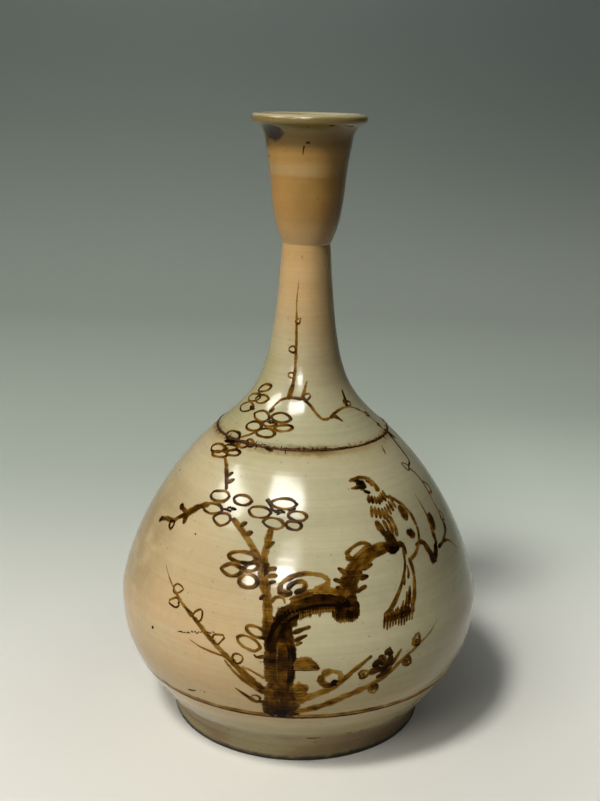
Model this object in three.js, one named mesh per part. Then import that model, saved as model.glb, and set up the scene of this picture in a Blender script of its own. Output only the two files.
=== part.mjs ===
// A hand-thrown stoneware bottle vase, in millimetres.
// It stands on z = 0 and its axis is the z axis. It is thrown in three sections on a turned foot ring,
// and each joint between them is a thin ring of joining slip, the lute, which touches both neighbours.

import {
  CubicBezierCurve,
  Group,
  LatheGeometry,
  Matrix4,
  Mesh,
  MeshStandardMaterial,
  QuadraticBezierCurve,
  Vector2,
} from 'three';

// Foot ring, which widens by its taper from the standing face up to the base
const FOOT_RADIUS = 67.8;
const FOOT_TAPER = 2;
const FOOT_HEIGHT = 9;
const FOOT_WIDTH = 7.5;
const FOOT_CHAMFER = 0.8;

// Stations of the outer outline, from the belly to the lip, and the lengths of the sections above the seam
const BELLY_RADIUS = 96;
const BELLY_HEIGHT = 70;
const SEAM_RADIUS = 45.2;
const SEAM_HEIGHT = 159.5;
const NECK_LENGTH = 96.5;
const WAIST_RADIUS = 12.3;
const CUP_LENGTH = 46;
const THROAT_RADIUS = 21.1;
const FLARE_LENGTH = 18;
const LIP_RADIUS = 29.1;
const LIP_BEAD_RADIUS = 2.4;

// Lean of the outline where it leaves and meets a station, as radius gained for each millimetre of height
const BOWL_START_LEAN = 0.65;
const BELLY_LEAN = 0;
const SEAM_LEAN = -1.12;
const NECK_END_LEAN = -0.07;
const CUP_START_LEAN = 0.53;
const THROAT_LEAN = 0.2;
const LIP_LEAN = 1.5;

// How long each stretch keeps to the lean at its lower and its upper end, as shares of its height
const BOWL_PULL = [0.36, 0.52];
const BELLY_PULL = [0.11, 0.38];
const NECK_PULL = [0.225, 0.72];
const CUP_PULL = [0.29, 0.34];
const FLARE_PULL = [0.4, 0.25];

// Walls, measured square to the surface, and the round corner inside the floor
const FLOOR_THICKNESS = 7;
const BOWL_WALL = 6;
const BELLY_WALL = 5.5;
const SEAM_WALL = 5;
const WAIST_WALL = 3.5;
const CUP_WALL = 3;
const FLOOR_CORNER = 14;

// Lutes: how thick each is, and how far it is squeezed proud of the walls that it joins
const FOOT_LUTE = 1;
const SHOULDER_LUTE = 1.2;
const SHOULDER_LUTE_PROUD = 0.6;
const MOUTH_LUTE = 1.2;
const MOUTH_LUTE_PROUD = 0.3;

// Fineness of the facets: how many go round, how high they are, and the steps of a rounded corner
const SEGMENTS = 56;
const OUTSIDE_STEP = 8.5;
const INSIDE_STEP = 12.5;
const FLARE_STEP = 4;
const CORNER_STEPS = 4;

// Sizes that neighbouring pieces share
const WAIST_HEIGHT = SEAM_HEIGHT + NECK_LENGTH;
const THROAT_HEIGHT = WAIST_HEIGHT + CUP_LENGTH;
const LIP_HEIGHT = THROAT_HEIGHT + FLARE_LENGTH;
const FOOT_TOP_RADIUS = FOOT_RADIUS + FOOT_TAPER;
const FOOT_INNER_RADIUS = FOOT_RADIUS - FOOT_WIDTH;
const BASE_HEIGHT = FOOT_HEIGHT + FOOT_LUTE;
const FLOOR_HEIGHT = BASE_HEIGHT + FLOOR_THICKNESS;
const BODY_TOP = SEAM_HEIGHT - SHOULDER_LUTE / 2;
const NECK_BOTTOM = SEAM_HEIGHT + SHOULDER_LUTE / 2;
const NECK_TOP = WAIST_HEIGHT - MOUTH_LUTE / 2;
const CUP_BOTTOM = WAIST_HEIGHT + MOUTH_LUTE / 2;

// The rolled lip is a bead. The cup's flare runs into its underside, and its top rolls over inwards.
const BEAD_START_ANGLE = -90;
const BEAD_END_ANGLE = 150;
const BEAD_ANGLE_STEP = 30;

function beadPoint(degrees) {
  const angle = (degrees * Math.PI) / 180;
  return new Vector2(
    LIP_RADIUS - LIP_BEAD_RADIUS + LIP_BEAD_RADIUS * Math.cos(angle),
    LIP_HEIGHT - LIP_BEAD_RADIUS + LIP_BEAD_RADIUS * Math.sin(angle),
  );
}

// One stretch of outline between two stations
function stretch(start, startLean, [startPull, endPull], end, endLean) {
  const rise = end.y - start.y;
  return new CubicBezierCurve(
    start,
    new Vector2(start.x + startLean * startPull * rise, start.y + startPull * rise),
    new Vector2(end.x - endLean * endPull * rise, end.y - endPull * rise),
    end,
  );
}

const footTop = new Vector2(FOOT_TOP_RADIUS, BASE_HEIGHT);
const belly = new Vector2(BELLY_RADIUS, BELLY_HEIGHT);
const seam = new Vector2(SEAM_RADIUS, SEAM_HEIGHT);
const waist = new Vector2(WAIST_RADIUS, WAIST_HEIGHT);
const throat = new Vector2(THROAT_RADIUS, THROAT_HEIGHT);
const underLip = beadPoint(BEAD_START_ANGLE);

const OUTLINE = [
  stretch(footTop, BOWL_START_LEAN, BOWL_PULL, belly, BELLY_LEAN),
  stretch(belly, BELLY_LEAN, BELLY_PULL, seam, SEAM_LEAN),
  stretch(seam, SEAM_LEAN, NECK_PULL, waist, NECK_END_LEAN),
  stretch(waist, CUP_START_LEAN, CUP_PULL, throat, THROAT_LEAN),
  stretch(throat, THROAT_LEAN, FLARE_PULL, underLip, LIP_LEAN),
];

// The outline's radius and lean at a height. Every stretch climbs all the way, so halving its span finds it.
function outlineAt(height) {
  const curve = OUTLINE.find((piece) => height <= piece.v3.y) ?? OUTLINE[OUTLINE.length - 1];
  let low = 0;
  let high = 1;
  for (let i = 0; i < 40; i += 1) {
    const middle = (low + high) / 2;
    if (curve.getPoint(middle).y < height) low = middle;
    else high = middle;
  }
  const tangent = curve.getTangent(high);
  return { radius: curve.getPoint(high).x, lean: tangent.x / tangent.y };
}

function outerRadius(height) {
  return outlineAt(height).radius;
}

// The wall at each station, bottom to top. Between two stations it changes evenly with height.
const WALLS = [
  [BASE_HEIGHT, BOWL_WALL],
  [BELLY_HEIGHT, BELLY_WALL],
  [SEAM_HEIGHT, SEAM_WALL],
  [WAIST_HEIGHT, WAIST_WALL],
  [THROAT_HEIGHT, CUP_WALL],
];

function wallAt(height) {
  const next = WALLS.findIndex(([station]) => height <= station);
  if (next === 0) return WALLS[0][1];
  if (next < 0) return WALLS[WALLS.length - 1][1];
  const [lowHeight, lowWall] = WALLS[next - 1];
  const [highHeight, highWall] = WALLS[next];
  return lowWall + ((highWall - lowWall) * (height - lowHeight)) / (highHeight - lowHeight);
}

// A leaning wall is wider across than it is thick
function innerRadius(height) {
  const { radius, lean } = outlineAt(height);
  return radius - wallAt(height) * Math.hypot(1, lean);
}

// Points of one side of a wall, at even heights no further apart than the step, both ends included
function side(radiusAt, from, to, step) {
  const steps = Math.ceil(Math.abs(to - from) / step);
  const points = [];
  for (let i = 0; i <= steps; i += 1) {
    const height = from + ((to - from) * i) / steps;
    points.push(new Vector2(radiusAt(height), height));
  }
  return points;
}

// A profile of radius and height, turned round the z axis
function turned(profile) {
  const geometry = new LatheGeometry(profile, SEGMENTS);
  return geometry.applyMatrix4(new Matrix4().set(1, 0, 0, 0, 0, 0, -1, 0, 0, 1, 0, 0, 0, 0, 0, 1));
}

// A ring's profile doesn't reach the axis, so it ends where it starts
function turnedRing(profile) {
  return turned([...profile, profile[0]]);
}

// The ring that the vase stands on, with the edges of its standing face eased
function footRing() {
  return turnedRing([
    new Vector2(FOOT_INNER_RADIUS + FOOT_CHAMFER, 0),
    new Vector2(FOOT_RADIUS - FOOT_CHAMFER, 0),
    new Vector2(FOOT_RADIUS, FOOT_CHAMFER),
    new Vector2(FOOT_TOP_RADIUS, FOOT_HEIGHT),
    new Vector2(FOOT_INNER_RADIUS, FOOT_HEIGHT),
    new Vector2(FOOT_INNER_RADIUS, FOOT_CHAMFER),
  ]);
}

// The layer of slip between the foot ring and the base, wiped flush
function footLute() {
  return turnedRing([
    new Vector2(FOOT_INNER_RADIUS, FOOT_HEIGHT),
    new Vector2(FOOT_TOP_RADIUS, FOOT_HEIGHT),
    new Vector2(FOOT_TOP_RADIUS, BASE_HEIGHT),
    new Vector2(FOOT_INNER_RADIUS, BASE_HEIGHT),
  ]);
}

// The bowl: flat base, swelling wall, and a floor that rounds up into the wall
function lowerBody() {
  const cornerTop = FLOOR_HEIGHT + FLOOR_CORNER;
  const corner = new QuadraticBezierCurve(
    new Vector2(innerRadius(cornerTop), cornerTop),
    new Vector2(innerRadius(FLOOR_HEIGHT), FLOOR_HEIGHT),
    new Vector2(innerRadius(FLOOR_HEIGHT) - FLOOR_CORNER, FLOOR_HEIGHT),
  );
  return turned([
    new Vector2(0, BASE_HEIGHT),
    ...side(outerRadius, BASE_HEIGHT, BELLY_HEIGHT, OUTSIDE_STEP),
    ...side(outerRadius, BELLY_HEIGHT, BODY_TOP, OUTSIDE_STEP).slice(1),
    ...side(innerRadius, BODY_TOP, cornerTop, INSIDE_STEP),
    ...corner.getPoints(CORNER_STEPS).slice(1),
    new Vector2(0, FLOOR_HEIGHT),
  ]);
}

// A ring of joining slip between two rims, squeezed proud of them outside and inside
function lute(bottom, top, proud) {
  const middle = (bottom + top) / 2;
  return turnedRing([
    new Vector2(innerRadius(bottom), bottom),
    new Vector2(outerRadius(bottom), bottom),
    new Vector2(outerRadius(middle) + proud, middle),
    new Vector2(outerRadius(top), top),
    new Vector2(innerRadius(top), top),
    new Vector2(innerRadius(middle) - proud, middle),
  ]);
}

// The second thrown section: a shoulder drawn up into the neck
function shoulderAndNeck() {
  return turnedRing([
    ...side(outerRadius, NECK_BOTTOM, NECK_TOP, OUTSIDE_STEP),
    ...side(innerRadius, NECK_TOP, NECK_BOTTOM, INSIDE_STEP),
  ]);
}

// The cup: a flaring wall, then round the bead of the lip and down the inside
function cupMouth() {
  const bead = [];
  for (let angle = BEAD_START_ANGLE; angle <= BEAD_END_ANGLE; angle += BEAD_ANGLE_STEP) {
    bead.push(beadPoint(angle));
  }
  return turnedRing([
    ...side(outerRadius, CUP_BOTTOM, THROAT_HEIGHT, OUTSIDE_STEP),
    ...side(outerRadius, THROAT_HEIGHT, underLip.y, FLARE_STEP).slice(1, -1),
    ...bead,
    ...side(innerRadius, underLip.y, THROAT_HEIGHT, FLARE_STEP),
    ...side(innerRadius, THROAT_HEIGHT, CUP_BOTTOM, INSIDE_STEP).slice(1),
  ]);
}

function clay(color, roughness) {
  return new MeshStandardMaterial({ color, roughness, metalness: 0 });
}

function piece(name, geometry, material) {
  const mesh = new Mesh(geometry, material);
  mesh.name = name;
  return mesh;
}

const vase = new Group();
vase.add(
  piece('foot_ring', footRing(), clay(0x66583a, 0.6)),
  piece('foot_lute', footLute(), clay(0x5c4e33, 0.7)),
  piece('lower_body', lowerBody(), clay(0xa89c78, 0.2)),
  piece('shoulder_lute', lute(BODY_TOP, NECK_BOTTOM, SHOULDER_LUTE_PROUD), clay(0x3a2614, 0.6)),
  piece('shoulder_and_neck', shoulderAndNeck(), clay(0xa1906a, 0.2)),
  piece('mouth_lute', lute(NECK_TOP, CUP_BOTTOM, MOUTH_LUTE_PROUD), clay(0x8f7347, 0.3)),
  piece('cup_mouth', cupMouth(), clay(0x9a7640, 0.2)),
);

export default vase;
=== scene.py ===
# A bottle vase of thrown stoneware, slipped, painted in iron brown with a plum tree and a perched bird, and
# glazed. Lengths are in metres, except in the painting, which is laid out in degrees from the front and in
# millimetres of height.

import math
import random
from bisect import bisect_left

import bmesh
import bpy
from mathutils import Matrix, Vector, noise
from mathutils.geometry import interpolate_bezier


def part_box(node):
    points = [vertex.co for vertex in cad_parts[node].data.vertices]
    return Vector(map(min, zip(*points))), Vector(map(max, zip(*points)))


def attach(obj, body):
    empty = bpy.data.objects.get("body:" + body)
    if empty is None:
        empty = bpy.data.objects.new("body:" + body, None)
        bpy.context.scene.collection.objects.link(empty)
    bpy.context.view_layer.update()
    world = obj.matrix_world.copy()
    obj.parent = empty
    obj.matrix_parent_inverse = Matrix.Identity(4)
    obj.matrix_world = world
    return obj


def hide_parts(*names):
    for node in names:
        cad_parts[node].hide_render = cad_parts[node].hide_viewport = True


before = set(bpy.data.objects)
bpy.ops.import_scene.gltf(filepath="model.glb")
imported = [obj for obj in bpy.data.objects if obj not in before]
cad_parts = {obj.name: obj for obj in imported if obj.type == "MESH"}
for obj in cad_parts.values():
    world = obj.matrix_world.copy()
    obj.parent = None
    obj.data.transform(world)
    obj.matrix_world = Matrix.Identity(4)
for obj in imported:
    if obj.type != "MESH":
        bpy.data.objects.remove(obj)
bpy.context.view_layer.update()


# Foot ring
# A ring of the same stoneware, thrown onto the upturned bowl and turned true with a blade.
# It has no slip and hardly any glaze, so its grey-olive clay shows. It is darker along the standing edge,
# from fired grit and from painted shade where the foot meets the table.

FOOT_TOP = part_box("foot_ring")[1]
FOOT_RADIUS = 0.0678
FOOT_INNER_RADIUS = 0.0603
FOOT_EDGE = 0.0008
FOOT_SWELL = ((0.0002, 0.0025), (0.0007, 0.0045), (0.0013, 0.0068))
TURNS = 256
FINGER_RINGS = Vector((12, 12, 260))
FINGER_DEPTH = 0.00006
PAINT_ROOM = 0.00008
SHARP_CORNER = math.radians(35)
SAME_PLACE = 1e-6


def srgb(red, green, blue):
    """A colour as it is seen, from 0 to 255, in the linear values that shaders take."""
    return (*(((c / 255 + 0.055) / 1.055) ** 2.4 if c > 10 else c / 3294.6 for c in (red, green, blue)), 1.0)


class Wire:
    """A shader socket on which Python's arithmetic works: each operator adds its Math node."""

    def __init__(self, tree, socket=None):
        self.tree = tree
        self.socket = socket

    def node(self, kind, settings=None, inputs=None, output=0):
        """Add a node with its settings, link or set its inputs, and give one of its outputs."""
        made = self.tree.nodes.new("ShaderNode" + kind)
        for name, value in (settings or {}).items():
            if name == "stops":
                while len(made.color_ramp.elements) < len(value):
                    made.color_ramp.elements.new(1.0)
                for element, (position, colour) in zip(made.color_ramp.elements, value):
                    element.position = position
                    element.color = colour
            else:
                setattr(made, name, value)
        for name, value in (inputs or {}).items():
            if isinstance(value, Wire):
                self.tree.links.new(value.socket, made.inputs[name])
            else:
                made.inputs[name].default_value = value
        return Wire(self.tree, made.outputs[output])

    def math(self, operation, first, second=0.0):
        return self.node("Math", {"operation": operation}, {0: first, 1: second})

    def __add__(self, other):
        return self.math("ADD", self, other)

    def __sub__(self, other):
        return self.math("SUBTRACT", self, other)

    def __rsub__(self, other):
        return self.math("SUBTRACT", other, self)

    def __mul__(self, other):
        return self.math("MULTIPLY", self, other)

    def __abs__(self):
        return self.math("ABSOLUTE", self)

    __radd__ = __add__
    __rmul__ = __mul__

    def rise(self, start, end):
        """0 below start and 1 above end, smooth between them, or the other way round if end is lower."""
        ends = {"Value": self, "From Min": min(start, end), "From Max": max(start, end)}
        risen = self.node("MapRange", {"interpolation_type": "SMOOTHSTEP"}, ends)
        return risen if start < end else 1 - risen

    def mix(self, under, over):
        """One colour over another, by this mask."""
        return self.node("Mix", {"data_type": "RGBA"}, {0: self, 6: under, 7: over}, output=2)

    def tint(self, colour, low, high):
        """A colour made darker and lighter by this value, between two factors."""
        shade = self * (high - low) + low
        grey = self.node("CombineXYZ", inputs={0: shade, 1: shade, 2: shade})
        tinting = {"data_type": "RGBA", "blend_type": "MULTIPLY"}
        return self.node("Mix", tinting, {0: 1.0, 6: colour, 7: grey}, output=2)


class Surface(Wire):
    """The nodes of one material, with the pot's own coordinates: height, angle from the front, and side.

    Side runs from -1 at the far left to 1 at the far right, without the jump that the angle has at the back.
    """

    def __init__(self, name):
        self.material = bpy.data.materials.new(name)
        self.material.use_nodes = True
        super().__init__(self.material.node_tree)
        self.shader = self.tree.nodes["Principled BSDF"]
        self.place = self.node("TexCoord", output="Object")
        parts = [self.node("SeparateXYZ", inputs={0: self.place}, output=axis) for axis in range(3)]
        self.height = parts[2]
        self.angle = self.math("ARCTAN2", parts[0], 0 - parts[1])
        self.side = self.math("SINE", self.angle)

    def noise(self, across, up, detail=3.0, place=None):
        """Noise with so many waves a metre across and up the surface."""
        stretch = {"operation": "MULTIPLY"}
        where = self.node("VectorMath", stretch, {0: place or self.place, 1: (across, across, up)})
        return self.node("TexNoise", inputs={"Vector": where, "Scale": 1.0, "Detail": detail})

    def finish(self, colour, roughness, relief, depth, gloss=0.5):
        """Drive the shader, with a relief of so many metres in the surface."""
        self.shader.inputs["Specular IOR Level"].default_value = gloss
        bump = self.node("Bump", inputs={"Height": relief, "Distance": depth, "Strength": 1.0})
        for name, wire in (("Base Color", colour), ("Roughness", roughness), ("Normal", bump)):
            self.tree.links.new(wire.socket, self.shader.inputs[name])
        return self.material


def layered(colour, *layers):
    """Colours laid over one another, each through its own mask."""
    for mask, over in layers:
        colour = mask.mix(colour, over)
    return colour


def finger_rings(point):
    """How far the potter's fingers left the wall in or out at a point, in faint rings that wander as they go.

    The wall lies in by the thickness of the paint, so that the painted pot keeps its size.
    """
    return FINGER_DEPTH * noise.noise(Vector(a * b for a, b in zip(point, FINGER_RINGS))) - PAINT_ROOM


def add_piece(name, mesh, material, slot, *nodes):
    """Make a piece of a bmesh. It rides on the pot's one body and stands for the CAD nodes given."""
    for face in mesh.faces:
        face.smooth = True
    data = bpy.data.meshes.new(name)
    mesh.to_mesh(data)
    mesh.free()
    data.materials.append(material)
    piece = bpy.data.objects.new(name, data)
    bpy.context.scene.collection.objects.link(piece)
    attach(piece, "root")
    if nodes:
        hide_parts(*nodes)


def turned(profile, ring=True):
    """Spin a profile of (radius, height) round the z axis. A ring's profile closes on itself."""
    mesh = bmesh.new()
    points = [mesh.verts.new((radius, 0, height)) for radius, height in profile]
    edges = [mesh.edges.new(pair) for pair in zip(points, points[1:])]
    if ring:
        edges.append(mesh.edges.new((points[-1], points[0])))
    bmesh.ops.spin(
        mesh, geom=points + edges, axis=(0, 0, 1), cent=(0, 0, 0), angle=math.tau, steps=TURNS, use_merge=True
    )
    bmesh.ops.remove_doubles(mesh, verts=mesh.verts, dist=SAME_PLACE)
    bmesh.ops.recalc_face_normals(mesh, faces=mesh.faces)
    for vertex in mesh.verts:
        radius = vertex.co.xy.length
        if radius > FOOT_EDGE:
            vertex.co.xy *= 1 + finger_rings(vertex.co) / radius
    for edge in mesh.edges:
        edge.smooth = edge.calc_face_angle(0.0) < SHARP_CORNER
    return mesh


def bare_clay(surface):
    """Colour of the unslipped stoneware: olive and brown patches under fine turning lines and dark specks."""
    patches = surface.noise(28, 60).rise(0.4, 0.62)
    clay = patches.mix(srgb(134, 122, 86), srgb(118, 98, 66))
    clay = surface.side.rise(0.0, 0.8).mix(clay, srgb(99, 80, 48))
    clay = surface.noise(14, 1500, 2.0).tint(clay, 0.78, 1.2)
    specks = surface.noise(900, 900, 1.0).rise(0.7, 0.76)
    clay = (specks * 0.75).mix(clay, srgb(44, 34, 20))
    # Darkened along the standing edge: partly fired grit, partly painted contact shade where the foot meets
    # the table.
    low_edge = (surface.height + (surface.noise(160, 160) - 0.5) * 0.004).rise(0.0036, 0.0014)
    return (low_edge * 0.92).mix(clay, srgb(22, 16, 9))


def foot_material():
    surface = Surface("turned_stoneware")
    grain = surface.noise(700, 1400, 4.0)
    return surface.finish(bare_clay(surface), grain * 0.3 + 0.45, grain, 0.00025, 0.25)


def arc(centre, radius, degrees):
    """Points of a round corner, at these degrees up from straight out."""
    turns = [math.radians(turn) for turn in degrees]
    return [(centre[0] + radius * math.cos(turn), centre[1] + radius * math.sin(turn)) for turn in turns]


foot_profile = [
    (FOOT_INNER_RADIUS + FOOT_EDGE, 0.0),
    *arc((FOOT_RADIUS - FOOT_EDGE, FOOT_EDGE), FOOT_EDGE, range(-90, 1, 15)),
    *[(FOOT_RADIUS + swell, height) for swell, height in FOOT_SWELL],
    (FOOT_TOP.x, FOOT_TOP.z),
    (FOOT_INNER_RADIUS, FOOT_TOP.z),
    (FOOT_INNER_RADIUS, FOOT_EDGE),
]
stoneware = foot_material()
add_piece("turned_foot", turned(foot_profile), stoneware, "bare_clay", "foot_ring")


# Foot lute
# The layer of joining slip between ring and base, of the same clay let down with water.
# It was scored on, pressed flush and wiped, so it shows only as a faint line inside the recess.

BASE_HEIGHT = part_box("foot_lute")[1].z
lute_profile = [
    (FOOT_INNER_RADIUS, FOOT_TOP.z),
    (FOOT_TOP.x, FOOT_TOP.z),
    (FOOT_TOP.x, BASE_HEIGHT),
    (FOOT_INNER_RADIUS, BASE_HEIGHT),
]
add_piece("foot_joint", turned(lute_profile), stoneware, "bare_clay", "foot_lute")


# Lower body
# A thrown bowl, open up to the shoulder seam. It was brushed all round with cream slip, painted, and dipped
# in a clear glaze down to a finger above the foot. The kiln's flame has blushed its left side a pinkish buff.

BELLY = (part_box("lower_body")[1].x, 0.070)
SEAM = (0.0452, 0.1595)
WAIST = (0.0123, 0.256)
THROAT = (0.0211, 0.302)
LIP_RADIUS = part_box("cup_mouth")[1].x
LIP_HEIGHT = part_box("cup_mouth")[1].z
LIP_BEAD = 0.0024
UNDER_LIP = (LIP_RADIUS - LIP_BEAD, LIP_HEIGHT - 2 * LIP_BEAD)
BODY_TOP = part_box("lower_body")[1].z
FLOOR_HEIGHT = 0.017
FLOOR_CORNER = 0.014
FLOOR_CORNER_POINTS = 8
WALLS = ((BASE_HEIGHT, 0.006), (BELLY[1], 0.0055), (SEAM[1], 0.005), (WAIST[1], 0.0035), (THROAT[1], 0.003))
SLIP_ENDS = (0.0305, 0.026)
GLAZE_ENDS = (0.0225, 0.0165)
GLAZE_GLOSS = 0.25
GLAZE_RELIEF = 0.00007
OUTLINE_POINTS = 80
LEAN_STEP = 0.0004
FINE_STEP = 0.0011
COARSE_STEP = 0.004


def stretch(start, start_lean, start_pull, end_pull, end_lean, end):
    """One stretch of the outline. It keeps to the lean at each end for that share of its height."""
    rise = end[1] - start[1]
    start_handle = (start[0] + start_lean * start_pull * rise, start[1] + start_pull * rise)
    end_handle = (end[0] - end_lean * end_pull * rise, end[1] - end_pull * rise)
    corners = (Vector(corner) for corner in (start, start_handle, end_handle, end))
    points = interpolate_bezier(*corners, OUTLINE_POINTS)
    return [(point.y, point.x) for point in points[:-1]]


OUTLINE = [
    *stretch((FOOT_TOP.x, BASE_HEIGHT), 0.65, 0.36, 0.52, 0.0, BELLY),
    *stretch(BELLY, 0.0, 0.11, 0.38, -1.12, SEAM),
    *stretch(SEAM, -1.12, 0.225, 0.72, -0.07, WAIST),
    *stretch(WAIST, 0.53, 0.29, 0.34, 0.2, THROAT),
    *stretch(THROAT, 0.2, 0.4, 0.25, 1.5, UNDER_LIP),
    (UNDER_LIP[1], UNDER_LIP[0]),
]


def along_table(table, height):
    """The value at a height in a table of (height, value) pairs, evenly changing between them."""
    above = min(max(bisect_left(table, (height,)), 1), len(table) - 1)
    (low, first), (high, second) = table[above - 1], table[above]
    share = min(max((height - low) / (high - low), 0.0), 1.0)
    return first + (second - first) * share


def outer(height):
    return along_table(OUTLINE, height)


def lean(height):
    """Radius gained for each metre climbed."""
    return (outer(height + LEAN_STEP) - outer(height - LEAN_STEP)) / (2 * LEAN_STEP)


def inner(height):
    """A leaning wall is wider across than it is thick."""
    return outer(height) - along_table(WALLS, height) * math.hypot(1, lean(height))


def side(radius_at, start, end, step):
    """Points of one side of a wall from one height to another, both included."""
    steps = math.ceil(abs(end - start) / step)
    heights = [start + (end - start) * i / steps for i in range(steps + 1)]
    return [(radius_at(height), height) for height in heights]


def seam_stain(surface, colour):
    """Iron from the joining slip, bled in patches into the glaze on both sides of the seam."""
    off_seam = abs(surface.height - SEAM[1] + (surface.noise(300, 500) - 0.5) * 0.004)
    patches = surface.noise(36, 10, 3.0).rise(0.42, 0.66)
    return (off_seam.rise(0.0032, 0.0004) * (patches * 0.65 + 0.15)).mix(colour, srgb(104, 78, 38))


def slipped_colour(surface, ground):
    """What brushed slip does to a ground colour: wide and fine streaks round the pot, and iron specks."""
    colour = surface.noise(5, 130, 2.0).tint(ground, 0.9, 1.1)
    colour = surface.noise(9, 900, 3.0).tint(colour, 0.9, 1.1)
    colour = surface.noise(260, 260, 4.0).tint(colour, 0.93, 1.07)
    specks = surface.noise(760, 760, 0.0).rise(0.81, 0.84)
    return (specks * 0.45).mix(colour, srgb(92, 66, 34))


def glaze_roughness(surface):
    return surface.noise(9, 900, 3.0) * 0.14 + 0.08


def glaze_relief(surface):
    """The brushed slip stands in fine streaks under the glaze, which is itself slightly uneven."""
    return surface.noise(9, 900, 3.0) * 0.4 + surface.noise(120, 240, 2.0) * 0.6


def glazed(surface, ground):
    """Finish a piece in slip of a ground colour, under the clear glaze."""
    colour = slipped_colour(surface, ground)
    return surface.finish(colour, glaze_roughness(surface), glaze_relief(surface), GLAZE_RELIEF, GLAZE_GLOSS)


def body_material():
    surface = Surface("slipped_body_glaze")
    drift = surface.noise(11, 18, 3.0) - 0.5
    height = surface.height + drift * 0.02
    angle = surface.angle + drift * 0.7

    cream = surface.noise(16, 40, 3.0).rise(0.35, 0.65).mix(srgb(181, 173, 138), srgb(193, 184, 148))
    side_reach = height.rise(0.095, 0.155) * 0.75 + 0.14
    blush = (angle + side_reach).rise(0.26, -0.22) * angle.rise(-2.7, -1.9)
    flame = blush * height.rise(0.12, 0.06) * surface.noise(20, 30).rise(0.4, 0.65)
    under_seam = height.rise(0.146, 0.1585) * surface.noise(30, 60).rise(0.3, 0.6)
    rust = (surface.height + drift * 0.004).rise(0.1548, 0.1588) * surface.noise(22, 30).rise(0.36, 0.6)
    # Painted shade: the right side of the belly, below the shoulder, is darkened in the colour.
    painted_shade_right = surface.side.rise(0.3, 1.0) * height.rise(0.15, 0.12)
    # Darker in cloudy patches towards the far left, about halfway up the belly.
    left_mid_darkening = abs(surface.height - 0.103).rise(0.045, 0.01) * surface.side.rise(-0.7, -0.95)
    cream = layered(
        cream,
        (height.rise(0.085, 0.035), srgb(158, 148, 110)),
        (blush * (height.rise(0.15, 0.09) * 0.4 + 0.5), srgb(195, 169, 126)),
        (flame * 0.4, srgb(202, 160, 116)),
        (under_seam * 0.4, srgb(172, 154, 98)),
        (rust * 0.7, srgb(156, 128, 74)),
        (height.rise(0.078, 0.036) * 0.7, srgb(150, 129, 91)),
        (painted_shade_right * 0.55, srgb(146, 139, 108)),
        (left_mid_darkening * surface.noise(60, 90, 4.0).rise(0.2, 0.6) * 0.75, srgb(154, 131, 90)),
    )
    slip = slipped_colour(surface, seam_stain(surface, cream))

    low_drift = surface.height + (surface.noise(24, 40) - 0.5) * 0.006
    olive = surface.noise(9, 1100, 2.0).tint(srgb(140, 126, 84), 0.85, 1.12)
    slip = low_drift.rise(*SLIP_ENDS).mix(slip, olive)
    bare = low_drift.rise(*GLAZE_ENDS)
    colour = bare.mix(slip, bare_clay(surface))

    roughness = glaze_roughness(surface) + bare * 0.28
    relief = glaze_relief(surface) + bare * surface.noise(700, 1400, 4.0) * 1.5
    return surface.finish(colour, roughness, relief, GLAZE_RELIEF, GLAZE_GLOSS)


corner_top = FLOOR_HEIGHT + FLOOR_CORNER
floor_edge = inner(FLOOR_HEIGHT)
floor_corner = interpolate_bezier(
    Vector((inner(corner_top), corner_top)),
    Vector((floor_edge, corner_top - FLOOR_CORNER / 2)),
    Vector((floor_edge - FLOOR_CORNER / 3, FLOOR_HEIGHT)),
    Vector((floor_edge - FLOOR_CORNER, FLOOR_HEIGHT)),
    FLOOR_CORNER_POINTS,
)
body_profile = [
    (0.0, BASE_HEIGHT),
    (FOOT_INNER_RADIUS, BASE_HEIGHT),
    *side(outer, BASE_HEIGHT, BODY_TOP, FINE_STEP),
    *side(inner, BODY_TOP, corner_top, COARSE_STEP),
    *[tuple(point) for point in floor_corner[1:]],
    (0.0, FLOOR_HEIGHT),
]
add_piece("thrown_body", turned(body_profile, ring=False), body_material(), "body_glaze", "lower_body")


# Shoulder lute
# The joining slip between bowl and shoulder. It squeezed out when the two halves were pressed together, dried
# into a rough bead and fired almost black, with short runs up and down where it was dragged.

NECK_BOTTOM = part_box("shoulder_and_neck")[0].z
CRUST_PROUD = 0.0003
CRUST_HALF_HEIGHT = 0.0006
CRUST_SHOULDER = (0.7, 0.6)
CRUST_TUCK = 0.0003
CRUST_ROOT = 0.001
CRUST_CUT_FROM = 0.0025
CRUST_SKIN_FROM = 0.0012
LEVEL = 1e-5
LUMPS = 420
CRUMBS = 1100
SPURS = 260
LUMP_LIFT = 0.0004
SPUR_LIFT = 0.0019
SPREAD = 0.0001
LUMP_PROUD = 0.00018


def crust_material():
    surface = Surface("fired_joining_slip")
    lumps = surface.noise(900, 900, 4.0)
    colour = lumps.rise(0.35, 0.7).mix(srgb(38, 19, 4), srgb(98, 62, 20))
    off_line = abs(surface.height - SEAM[1] + (surface.noise(420, 420) - 0.5) * 0.0013)
    thickness = surface.noise(60, 60, 2.0).rise(0.3, 0.7) * 0.0008 + 0.0003
    bare_ridge = (off_line - thickness).rise(0.0, 0.0004) * (surface.height - 0.01).rise(0.0, 0.001)
    colour = bare_ridge.mix(colour, srgb(158, 138, 92))
    return surface.finish(colour, lumps * 0.3 + 0.4, lumps, 0.0003, 0.06)


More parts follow.
